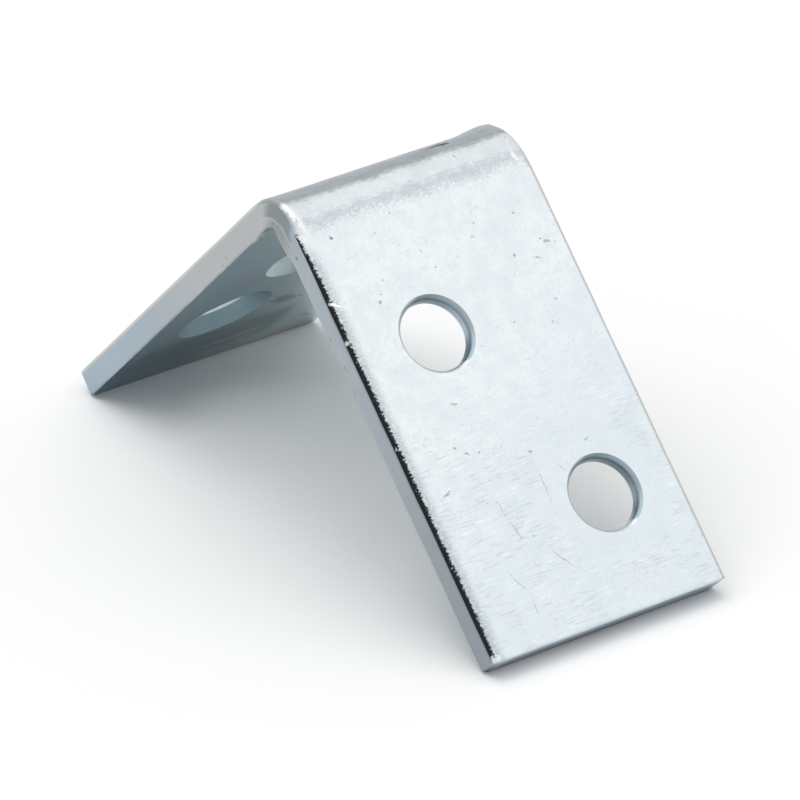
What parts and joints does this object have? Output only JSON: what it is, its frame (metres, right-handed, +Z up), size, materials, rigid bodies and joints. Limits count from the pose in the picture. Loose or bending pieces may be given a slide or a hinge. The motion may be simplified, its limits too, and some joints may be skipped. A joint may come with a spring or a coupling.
{
  "type": "angle bracket",
  "caption": "Equal-leg right-angle bracket folded from flat zinc-plated steel strip, with staggered screw holes countersunk on the inner faces.",
  "frame": {"origin": "on the floor, midway between the ends of the two legs and midway across the strip", "axes": "+Z up with the bracket standing as a tent on the ends of its legs; Y along the fold; the right leg goes down towards +X and the left leg towards -X"},
  "size_m": [0.0494, 0.0196, 0.0248],
  "materials": {
    "zinc_plate": "bright zinc plate with a cool cast, satin with fine mottling and drawn streaks"
  },
  "bodies": {
    "root": {"bracket": "zinc_plate"}
  },
  "joints": []
}
